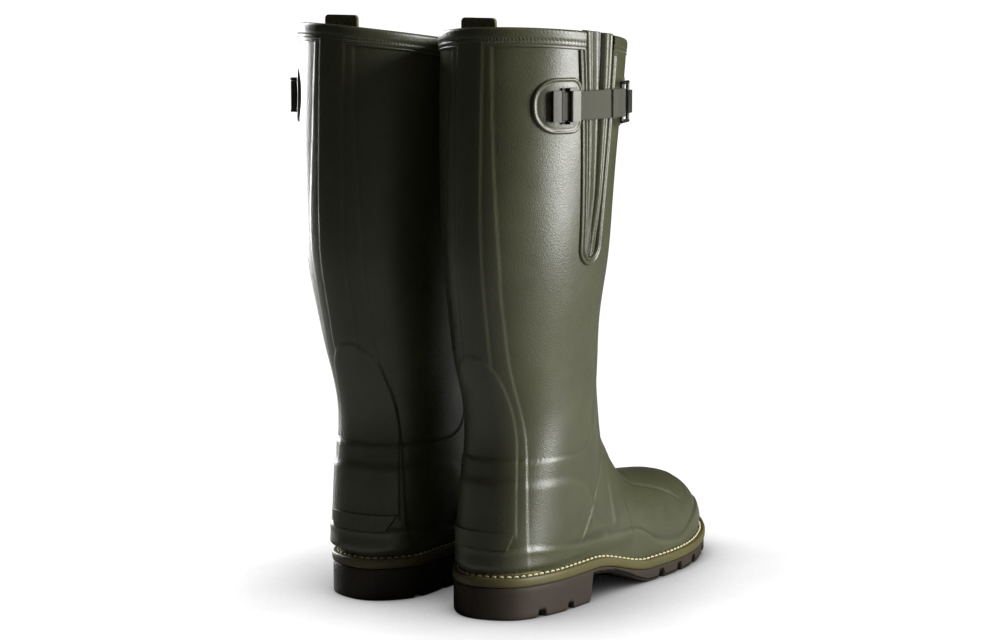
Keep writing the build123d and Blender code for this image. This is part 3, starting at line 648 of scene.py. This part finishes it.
def gusset_path(grow, drop):
    """The line round the opening at a distance, from the rear top, round the bottom, to the front."""
    def side(way):
        z = np.linspace(GUSSET_LOW + GUSSET_HALF[0], RIM_Z + 12, 60)
        return np.stack([GUSSET_Y + way * gusset_half(z, grow), z], -1)

    low_half = GUSSET_HALF[0] + grow
    turn = np.radians(np.arange(10, 171, 10))
    bottom = np.stack([GUSSET_Y - low_half * np.cos(turn),
                       GUSSET_LOW + GUSSET_HALF[0] - low_half * np.sin(turn)], -1)
    line = np.vstack([side(-1)[::-1], bottom, side(1)])
    base, _ = on_shaft(line[:, 0], line[:, 1])
    return line[line[:, 1] < rim_z(base[:, 0], base[:, 1], drop)]


# (distance from the trim's middle, lift): outer skirt, ridge, valley, ridge, inner lip
TRIM_PROFILE = [(3.1, -0.3), (2.9, 0.8), (2.5, 1.5), (1.9, 1.85), (1.3, 1.6), (0.8, 1.0), (0.3, 0.8),
                (-0.2, 1.0), (-0.7, 1.7), (-1.3, 2.1), (-2.0, 2.0), (-2.6, 1.4), (-2.9, 0.3),
                (-3.0, -1.4), (-2.8, -2.2)]


def make_gusset_trim(look):
    line, _ = resampled(gusset_path(TRIM_WIDE / 2, BINDING_TALL - 1.0), 1.4)
    tangent = np.gradient(line, axis=0)
    tangent /= np.linalg.norm(tangent, axis=1, keepdims=True)
    outward = np.stack([tangent[:, 1], -tangent[:, 0]], -1)
    rows = []
    for across, lift in TRIM_PROFILE:
        at = line + outward * across
        rows.append(on_shaft(at[:, 0], at[:, 1], lift + np.zeros(len(at)))[0])
    points = np.array(rows)
    add_pair("gusset_edging", points.reshape(-1, 3), grid_faces(len(rows), len(line)), look,
             stands_for=("gusset_trim",))


# ---- sole -------------------------------------------------------------------------------------------
def outline(grow, step=1.6):
    """The sole's outline moved outward, with unit outward normals."""
    line, _ = resampled(smooth_line(STITCH_OUTLINE, 12, closed=True), step, closed=True)
    tangent = np.roll(line, -1, 0) - np.roll(line, 1, 0)
    tangent /= np.linalg.norm(tangent, axis=1, keepdims=True)
    normal = np.stack([tangent[:, 1], -tangent[:, 0]], -1)
    return line + normal * grow, normal


# (distance out from the stitch line, height over the welt's top face)
WELT_PROFILE = [(-14.0, -0.2), (-5.0, -0.1), (-2.6, 0.0), (-1.3, 0.0), (-0.8, -0.5), (0.0, -0.7),
                (0.8, -0.5), (1.3, 0.0), (2.4, 0.1), (3.3, -0.1), (3.8, -0.6), (4.05, -1.4),
                (4.1, -3.0), (4.0, -4.6), (3.9, -5.6), (3.5, -6.5), (2.8, -7.0), (-8.0, -7.0)]


def make_welt(look, thread):
    rows = []
    for out, drop in WELT_PROFILE:
        line, _ = outline(out)
        rows.append(np.column_stack([line, seat_z(line[:, 1]) + drop]))
    points = np.array(rows)
    faces = grid_faces(len(rows), points.shape[1], wrap=True)[:, ::-1]
    add_pair("welt_rim", points.reshape(-1, 3), faces, look, stands_for=("welt",))
    line, normal = outline(0.0, 5.4)
    along = np.roll(line, -1, 0) - np.roll(line, 1, 0)
    rise = seat_z(np.roll(line, -1, 0)[:, 1]) - seat_z(np.roll(line, 1, 0)[:, 1])
    ways = np.column_stack([along, rise])
    places = [((x, y, seat_z(y) - 0.05), way, np.array([0, 0, 1.0]))
              for (x, y), way in zip(line, ways)]
    make_stitches("welt_lockstitch", [(np.array(a), w, n) for a, w, n in places],
                  (4.3, 1.7, 1.5), thread, stands_for=("welt_stitches",))


# (Y, height of the underside over the tread): heel block, breast, arched waist, fore part
UNDERSIDE = [(-10, 0.0), (87.5, 0.0), (90.5, 19.0), (96, 19.4), (120, 16.5), (140, 9.5), (150, 5.0),
             (163, 0.6), (170, 0.0), (310, 0.0)]
LUG_GAPS = (32, 62, 182, 208, 234, 260, 284)
LUG_GAP_WIDE, LUG_GAP_DEEP = 7.0, 5.0
SOLE_EDGE = 3.2                      # how far the sole's side stands out of the stitch line
# (inset from the side, share of the wall's height down, mm up from the underside)
SOLE_WALL = [(6.0, 0.0, 0.0), (0.5, 0.0, 0.0), (0.1, 0.04, 0.0), (0.0, 0.2, 0.0), (0.0, 0.4, 0.0),
             (0.0, 0.6, 0.0), (0.0, 0.8, 0.0), (0.0, 1.0, 2.6), (0.15, 1.0, 1.6), (0.6, 1.0, 0.8),
             (1.2, 1.0, 0.3), (2.2, 1.0, 0.0), (4.0, 1.0, 0.0)]


def underside(y):
    """Height of the sole's underside: heel block, waist and lugs with gaps between them."""
    ground = toe_rise(y) + np.interp(y, *np.array(UNDERSIDE).T)
    for gap in LUG_GAPS:
        away = LUG_GAP_WIDE / 2 - np.abs(y - gap)
        ground = ground + LUG_GAP_DEEP * ease(away / 1.2 + 0.5)
    return ground


def make_outsole(look):
    edge, normal = outline(SOLE_EDGE, 0.9)
    spine_y = np.clip(edge[:, 1], 36, 268)
    mid_x = np.interp(spine_y, [36, 100, 165, 230, 268], [-2.5, 3.5, 4.0, 2.0, -2.0])
    spine = np.stack([mid_x, spine_y], -1)
    rows = []
    for inset, down, up in SOLE_WALL:
        line = edge - normal * inset
        top, low = seat_z(line[:, 1]) - WELT_THICK - 0.3, underside(line[:, 1])
        z = top + (low + up - top) * down
        rows.append(np.column_stack([line, np.minimum(z, top)]))
    inner = edge - normal * SOLE_WALL[-1][0]
    for share in (0.85, 0.65, 0.42, 0.2, 0.02):
        line = spine + (inner - spine) * share
        rows.append(np.column_stack([line, underside(line[:, 1])]))
    points = np.array(rows)
    faces = grid_faces(len(rows), points.shape[1], wrap=True)[:, ::-1]
    add_pair("lugged_outsole", points.reshape(-1, 3), faces, look, stands_for=("outsole",))


# ---- patches under the strap ------------------------------------------------------------------------
def rounded_outline(across, tall, radii, steps=8):
    """A rectangle with its own corner radius on the left and on the right."""
    line = []
    for cx, cz, radius, start in ((1, 1, radii[1], 0), (-1, 1, radii[0], 90),
                                  (-1, -1, radii[0], 180), (1, -1, radii[1], 270)):
        for k in range(steps + 1):
            turn = radians(start + 90 * k / steps)
            line.append((cx * (across / 2 - radius) + radius * cos(turn),
                         cz * (tall / 2 - radius) + radius * sin(turn)))
    return np.array(line)


# (share of the way from the middle to the edge, lift): flat, groove, bead, rounded edge
PATCH_PROFILE = [(0.02, 1.55), (0.4, 1.6), (0.7, 1.6), (0.8, 1.45), (0.845, 1.25), (0.875, 1.5),
                 (0.905, 1.95), (0.935, 2.0), (0.96, 1.75), (0.98, 1.3), (0.992, 0.7), (1.0, -0.3)]


def make_patch(name, middle_y, line, look, node):
    line, _ = resampled(line, 0.8, closed=True)
    slant = sqrt(max(1e-3, 1 - ((middle_y - 60) / 75) ** 2))
    rows = []
    for share, lift in PATCH_PROFILE:
        y = middle_y + line[:, 0] * share * slant
        rows.append(on_shaft(y, STRAP_Z + line[:, 1] * share, lift + np.zeros(len(line)))[0])
    points = np.array(rows)
    faces = grid_faces(len(rows), points.shape[1], wrap=True)[:, ::-1].tolist()
    cap = list(range(points.shape[1]))
    add_pair(name, points.reshape(-1, 3), faces + [cap], look, stands_for=(node,))


# ---- strap ------------------------------------------------------------------------------------------
STRAP_JOINT = next(j for j in frame["joints"] if j["name"] == "right_strap_slide")


WEAVE_PITCH = 2.2


def strip(name, path, tall, thick, look, body, node, middle_z, slot="webbing"):
    """A woven band along a level path (X, Y), with ribs and rounded selvedges."""
    line, run = resampled(path, 0.55)
    tangent = np.gradient(line, axis=0)
    tangent /= np.linalg.norm(tangent, axis=1, keepdims=True)
    normal = np.stack([tangent[:, 1], -tangent[:, 0]], -1)
    half = thick / 2
    heights = np.linspace(-tall / 2, tall / 2, 38)
    ring = [(h, 1) for h in heights] + [(h, -1) for h in heights[::-1]]
    rows = []
    for h, face in ring:
        selvedge = min(1.0, sqrt(max(0.0, (tall / 2 - abs(h)) / 0.7)) + 0.15)
        weave = 0.16 * np.sin(2 * pi * run / WEAVE_PITCH + (pi if int((h + tall) / 1.1) % 2 else 0))
        rib = 0.05 * cos(2 * pi * h / 1.1)
        out = face * (half * selvedge + weave * selvedge + rib)
        at = line + normal * out[:, None]
        rows.append(np.column_stack([at, np.full(len(line), middle_z + h)]))
    points = np.array(rows)
    count = points.shape[1]
    faces = grid_faces(len(rows) + 1, count)
    faces = faces % (len(rows) * count)
    ends = [[r * count for r in range(len(rows))][::-1],
            [r * count + count - 1 for r in range(len(rows))]]
    marks = {"run": np.tile(run, len(rows)),
             "across": np.repeat([h for h, _ in ring], count)}
    return add_pair(name, points.reshape(-1, 3), faces.tolist() + ends, look, body=body,
                    stands_for=(node,), marks=marks)


STRAP_AXIS = np.array(STRAP_JOINT["pos_m"][:2]) / MM - BOOT_AT[:2]
WEBBING_R, WEBBING_THICK = 92.6, 1.5          # middle of the band from the strap's axis
BAR_R, BAR_AT = 94.85, 9.97                   # the ring's rear bar, bearing in degrees
FOLD_R = BAR_R - WEBBING_R                    # the fold round that bar


def round_strap(radius, bearing):
    """Level points at a radius and bearings from the strap's axis."""
    turn = np.radians(bearing)
    return STRAP_AXIS + np.stack([radius * np.cos(turn), radius * np.sin(turn)], -1)


def make_strap(look):
    """Webbing from the buckle to the ring, folded round its bar and sewn back on itself."""
    band = round_strap(WEBBING_R, np.linspace(-28.3, BAR_AT, 40))
    bar = round_strap(BAR_R, np.array([BAR_AT]))
    turn = np.radians(BAR_AT + np.linspace(-170, 0, 12))
    fold = bar + FOLD_R * np.stack([np.cos(turn), np.sin(turn)], -1)
    bearing = np.linspace(BAR_AT - 0.8, BAR_AT - 8.5, 12)
    down = ease((BAR_AT - bearing) / 5.0)
    back = round_strap(BAR_R + FOLD_R + (WEBBING_THICK * 1.1 - 2 * FOLD_R) * down, bearing)
    strip("folded_webbing", np.vstack([band, fold, back]), WEBBING_TALL, WEBBING_THICK, look, "strap",
          "strap_webbing", STRAP_Z)
    tail = round_strap(WEBBING_R, np.linspace(-31.8, -28.7, 6))
    strip("webbing_tail", tail, WEBBING_TALL, WEBBING_THICK, look, "strap_end", "strap_tail", STRAP_Z)


# ---- node materials ---------------------------------------------------------------------------------
class Look:
    """A procedural material built from a few helpers."""

    def __init__(self, name):
        self.material = bpy.data.materials.new(name)
        self.material.use_nodes = True
        self.nodes = self.material.node_tree.nodes
        self.links = self.material.node_tree.links
        self.shader = self.nodes["Principled BSDF"]

    def add(self, kind, settings=None, **inputs):
        node = self.nodes.new("ShaderNode" + kind)
        for key, value in (settings or {}).items():
            setattr(node, key, value)
        for key, value in inputs.items():
            self.plug(node.inputs[key.replace("_", " ")], value)
        return node

    def plug(self, socket, value):
        if isinstance(value, bpy.types.NodeSocket):
            self.links.new(value, socket)
        else:
            socket.default_value = value

    def place(self, scale=(1, 1, 1)):
        """Object coordinates in millimetres, stretched."""
        coords = self.add("TexCoord").outputs["Object"]
        return self.add("Mapping", Vector=coords,
                        Scale=tuple(1000 * s for s in scale)).outputs["Vector"]

    def noise(self, size, detail=3.0, roughness=0.5, scale=(1, 1, 1)):
        return self.add("TexNoise", Vector=self.place(scale), Scale=1 / size, Detail=detail,
                        Roughness=roughness).outputs["Fac"]

    def ramp(self, value, low, high, out_low=0.0, out_high=1.0):
        node = self.add("MapRange", Value=value)
        node.inputs["From Min"].default_value = low
        node.inputs["From Max"].default_value = high
        node.inputs["To Min"].default_value = out_low
        node.inputs["To Max"].default_value = out_high
        return node.outputs["Result"]

    def mix(self, share, one, two):
        node = self.add("Mix", {"data_type": "RGBA"})
        self.plug(node.inputs["Factor"], share)
        self.plug(node.inputs[6], one)
        self.plug(node.inputs[7], two)
        return node.outputs[2]

    def sums(self, operation, one, two):
        node = self.add("Math", {"operation": operation})
        self.plug(node.inputs[0], one)
        self.plug(node.inputs[1], two)
        return node.outputs[0]

    def mark(self, name):
        return self.add("Attribute", {"attribute_name": name}).outputs["Fac"]

    def bump(self, height, depth, strength=1.0):
        """Relief of a depth in millimetres."""
        node = self.add("Bump", Height=height, Distance=depth * MM, Strength=strength)
        self.plug(self.shader.inputs["Normal"], node.outputs["Normal"])
        return node

    def finish(self, colour, roughness, **inputs):
        self.plug(self.shader.inputs["Base Color"], colour)
        self.plug(self.shader.inputs["Roughness"], roughness)
        for key, value in inputs.items():
            self.plug(self.shader.inputs[key.replace("_", " ")], value)
        return self.material


def shade(colour, factor):
    return tuple(c * factor for c in colour) + (1.0,)


def rubber(name, colour, roughness=0.37, grain=1.1, depth=0.10, marked=False, sheen=0.0, dust_and_shade=0.3,
           shine=0.7):
    """Satin rubber with a fine leather grain and slow colour drift; when marked, painted shade (partly dust)
    darkens its hollows and a painted highlight (partly wear) lightens its raised edges.
    """
    look = Look(name)
    cells = look.add("TexVoronoi", {"feature": "SMOOTH_F1"}, Vector=look.place(), Scale=1 / grain,
                     Smoothness=0.6).outputs["Distance"]
    fine = look.noise(0.35, 2.0)
    pores = look.sums("ADD", cells, look.sums("MULTIPLY", fine, 0.5))
    drift = look.noise(45.0, 4.0, 0.6)
    tone = look.mix(look.ramp(drift, 0.3, 0.7), shade(colour, 0.88), shade(colour, 1.14))
    if marked:
        # Painted shade (partly dust) takes the marked hollows towards near black; a painted highlight (partly
        # wear) lightens the marked raised edges.
        tone = look.mix(look.sums("MULTIPLY", look.mark("dust_and_shade"), dust_and_shade), tone, shade(colour, 0.05))
        tone = look.mix(look.sums("MULTIPLY", look.mark("wear_and_highlight"), 0.40), tone, shade(colour, 1.7))
    smudge = look.noise(14.0, 5.0, 0.65)
    gloss = look.ramp(smudge, 0.25, 0.75, roughness - 0.05, roughness + 0.08)
    look.bump(pores, depth)
    return look.finish(tone, gloss, Specular_IOR_Level=shine, Coat_Weight=sheen, Coat_Roughness=0.4)


def woven(name, colour, pitch=WEAVE_PITCH):
    """Webbing: warp and weft tones from the band's own run and width, with fuzzy fibres."""
    look = Look(name)
    weft = look.add("Math", {"operation": "SINE"})
    look.plug(weft.inputs[0], look.sums("MULTIPLY", look.mark("run"), 2 * pi / pitch))
    warp = look.add("Math", {"operation": "SINE"})
    look.plug(warp.inputs[0], look.sums("MULTIPLY", look.mark("across"), 2 * pi / 1.1))
    cross = look.sums("MULTIPLY", weft.outputs[0], warp.outputs[0])
    fibre = look.noise(0.25, 4.0, 0.7)
    tone = look.mix(look.ramp(look.sums("ADD", cross, look.sums("MULTIPLY", fibre, 0.8)), -0.8, 1.4),
                    shade(colour, 0.62), shade(colour, 1.25))
    look.bump(look.sums("ADD", look.sums("MULTIPLY", cross, 0.6), fibre), 0.12)
    return look.finish(tone, 0.78, Sheen_Weight=0.1)


def knit(name, colour):
    """Loop knit of a neoprene lining or a padded insole cloth."""
    look = Look(name)
    loops = look.add("TexVoronoi", {"feature": "F1"}, Vector=look.place((1.0, 1.0, 0.7)),
                     Scale=1 / 1.3).outputs["Distance"]
    fuzz = look.noise(0.4, 4.0, 0.7)
    patches = look.noise(30.0, 3.0)
    tone = look.mix(look.ramp(loops, 0.1, 0.8), shade(colour, 1.15), shade(colour, 0.6))
    tone = look.mix(look.ramp(patches, 0.35, 0.65, 0.0, 0.25), tone, shade(colour, 0.7))
    look.bump(look.sums("SUBTRACT", fuzz, loops), 0.35)
    return look.finish(tone, 0.88, Sheen_Weight=0.35, Sheen_Roughness=0.5)


def metal(name, colour, roughness, brush=(1, 1, 0.04)):
    """Brushed cast metal with scuffs."""
    look = Look(name)
    lines = look.noise(0.22, 2.0, 0.5, brush)
    scuffs = look.noise(3.0, 6.0, 0.75)
    tone = look.mix(look.ramp(scuffs, 0.35, 0.7), shade(colour, 0.72), shade(colour, 1.12))
    gloss = look.sums("ADD", look.ramp(scuffs, 0.3, 0.7, roughness - 0.07, roughness + 0.12),
                      look.sums("MULTIPLY", lines, 0.08))
    look.bump(lines, 0.03)
    return look.finish(tone, gloss, Metallic=1.0)


def thread_look(name, colour):
    """Twisted waxed thread."""
    look = Look(name)
    twist = look.noise(0.5, 2.0, 0.6, (1.0, 0.4, 1.0))
    tone = look.mix(look.ramp(twist, 0.3, 0.7), shade(colour, 0.7), shade(colour, 1.1))
    look.bump(twist, 0.12)
    return look.finish(tone, 0.6, Sheen_Weight=0.2)


OLIVE = (0.052, 0.054, 0.024)
WELT_OLIVE = (0.085, 0.074, 0.026)
SOLE_BROWN = (0.034, 0.025, 0.018)
THREAD = (0.62, 0.56, 0.34)
LINING = (0.17, 0.155, 0.05)
WEBBING = (0.052, 0.050, 0.032)
GUNMETAL = (0.085, 0.083, 0.077)
BRIGHT = (0.12, 0.118, 0.106)


# ---- stage ------------------------------------------------------------------------------------------
CAMERA_AZIMUTH = radians(33.11)
CAMERA_PITCH = radians(8.26)
CAMERA_FAR = 2.053
CAMERA_LENS = 97.92
AIM_SHIFT = Vector((-0.012, -0.010, -0.019))


def area_light(name, azimuth, height, far, size, watts, centre, tint=(1, 1, 1)):
    """A soft box that stands round the boots and faces them."""
    turn = radians(azimuth)
    at = Vector((sin(turn) * far, -cos(turn) * far, height))
    data = bpy.data.lights.new(name, "AREA")
    data.shape = "RECTANGLE"
    data.size, data.size_y = size
    data.energy = watts
    data.color = tint
    lamp = bpy.data.objects.new(name, data)
    lamp.location = at
    lamp.rotation_euler = (centre - at).to_track_quat("-Z", "Y").to_euler()
    bpy.context.scene.collection.objects.link(lamp)
    return lamp


def white_for_camera(tree, lit, white):
    """Mixes what the camera sees with what lights the boots."""
    path = tree.nodes.new("ShaderNodeLightPath")
    mix = tree.nodes.new("ShaderNodeMixShader")
    tree.links.new(path.outputs["Is Camera Ray"], mix.inputs[0])
    tree.links.new(lit, mix.inputs[1])
    tree.links.new(white, mix.inputs[2])
    return mix.outputs[0]


def make_stage():
    low, high = cad_low, cad_high
    centre = (low + high) / 2
    world = bpy.data.worlds.new("studio")
    bpy.context.scene.world = world
    world.use_nodes = True
    tree = world.node_tree
    dim = tree.nodes["Background"]
    dim.inputs["Color"].default_value = (1, 1, 1, 1)
    dim.inputs["Strength"].default_value = 0.03
    white = tree.nodes.new("ShaderNodeBackground")
    white.inputs["Color"].default_value = (1, 1, 1, 1)
    white.inputs["Strength"].default_value = 1.05
    tree.links.new(white_for_camera(tree, dim.outputs[0], white.outputs[0]),
                   tree.nodes["World Output"].inputs["Surface"])

    mesh = bpy.data.meshes.new("floor")
    reach = 12.0
    mesh.from_pydata([(-reach, -reach, 0), (reach, -reach, 0), (reach, reach, 0), (-reach, reach, 0)],
                     [], [(0, 1, 2, 3)])
    floor = bpy.data.objects.new("studio_floor", mesh)
    bpy.context.scene.collection.objects.link(floor)
    look = Look("floor_glow_painted_shadow")
    matt = look.add("BsdfDiffuse", Color=(0.30, 0.30, 0.29, 1))
    # Painted shadow: the floor the camera sees is a glow, darkened by ambient occlusion round the boots.
    shadow = look.add("AmbientOcclusion", {"samples": 8}, Distance=0.11)
    depth = look.sums("POWER", shadow.outputs["AO"], 1.6)
    grain = look.ramp(look.noise(60.0, 2.0), 0.3, 0.7, 1.06, 1.10)
    glow = look.add("Emission", Strength=look.sums("MULTIPLY", depth, grain))
    output = look.nodes["Material Output"]
    look.links.new(white_for_camera(look.material.node_tree, matt.outputs[0], glow.outputs[0]),
                   output.inputs["Surface"])
    mesh.materials.append(look.material)

    area_light("key_softbox", 99, 0.55, 1.7, (0.7, 1.6), 66, centre)
    area_light("rim_softbox", -108, 0.5, 1.8, (0.7, 1.4), 60, centre)
    area_light("top_softbox", 70, 1.9, 0.4, (1.4, 1.4), 3, centre)

    back = Vector((sin(CAMERA_AZIMUTH) * cos(CAMERA_PITCH), -cos(CAMERA_AZIMUTH) * cos(CAMERA_PITCH),
                   sin(CAMERA_PITCH)))
    data = bpy.data.cameras.new("camera")
    data.sensor_width = 36.0
    data.lens = CAMERA_LENS
    camera = bpy.data.objects.new("camera", data)
    camera.location = centre + AIM_SHIFT + back * CAMERA_FAR
    camera.rotation_euler = (-back).to_track_quat("-Z", "Y").to_euler()
    bpy.context.scene.collection.objects.link(camera)
    bpy.context.scene.camera = camera
    bpy.context.scene.view_settings.view_transform = "Standard"


# ---- put it together --------------------------------------------------------------------------------
def dress_boots():
    upper_rubber = rubber("olive_rubber", OLIVE, marked=True, sheen=0.25)
    plain_rubber = rubber("olive_rubber_plain", OLIVE, sheen=0.25)
    welt_rubber = rubber("welt_rubber", WELT_OLIVE, 0.48, 0.9, 0.05, shine=0.4)
    sole_rubber = rubber("sole_rubber", SOLE_BROWN, 0.6, 0.8, 0.06, shine=0.25)
    thread = thread_look("waxed_thread", THREAD)
    rim_thread = thread_look("rim_thread", (0.10, 0.10, 0.06))
    steel = metal("gunmetal", GUNMETAL, 0.42)
    bright = metal("bright_metal", BRIGHT, 0.45)
    webbing = woven("olive_webbing", WEBBING)
    lining = knit("lining_knit", LINING)
    tape = knit("pull_tape", (0.15, 0.14, 0.055))
    foam = knit("footbed_foam", (0.05, 0.05, 0.045))

    make_skin(upper_rubber)
    make_binding(plain_rubber, rim_thread)
    # The gusset's rubber paints its marked pleat valley with full painted shade, nearly black.
    make_gusset_panel(rubber("gusset_rubber", OLIVE, marked=True, sheen=0.2, dust_and_shade=1.0))
    make_gusset_trim(plain_rubber)
    make_welt(welt_rubber, thread)
    make_patch("strap_patch", 19.0, rounded_outline(40, 39, (17, 9)), plain_rubber, "rear_patch")
    turns = np.linspace(0, 2 * pi, 72, endpoint=False)
    diamond = np.stack([17.0 * squashed(np.cos(turns), 1.2), 18.5 * squashed(np.sin(turns), 1.2)], -1)
    make_patch("ring_patch", 94.0, diamond, plain_rubber, "front_patch")
    make_strap(webbing)
    make_outsole(sole_rubber)
    for node, look in (("kick_off_ledge", plain_rubber),
                       ("neoprene_lining", lining), ("footbed", foam), ("insole_board", foam),
                       ("shank", steel), ("buckle_base", steel), ("buckle_pin", steel),
                       ("strap_tip", steel), ("strap_ring", steel), ("buckle_lever", bright),
                       ("ring_keeper", bright), ("pull_loop", tape), ("pull_loop_anchor", tape)):
        dress_node(node, look)


dress_boots()
make_stage()
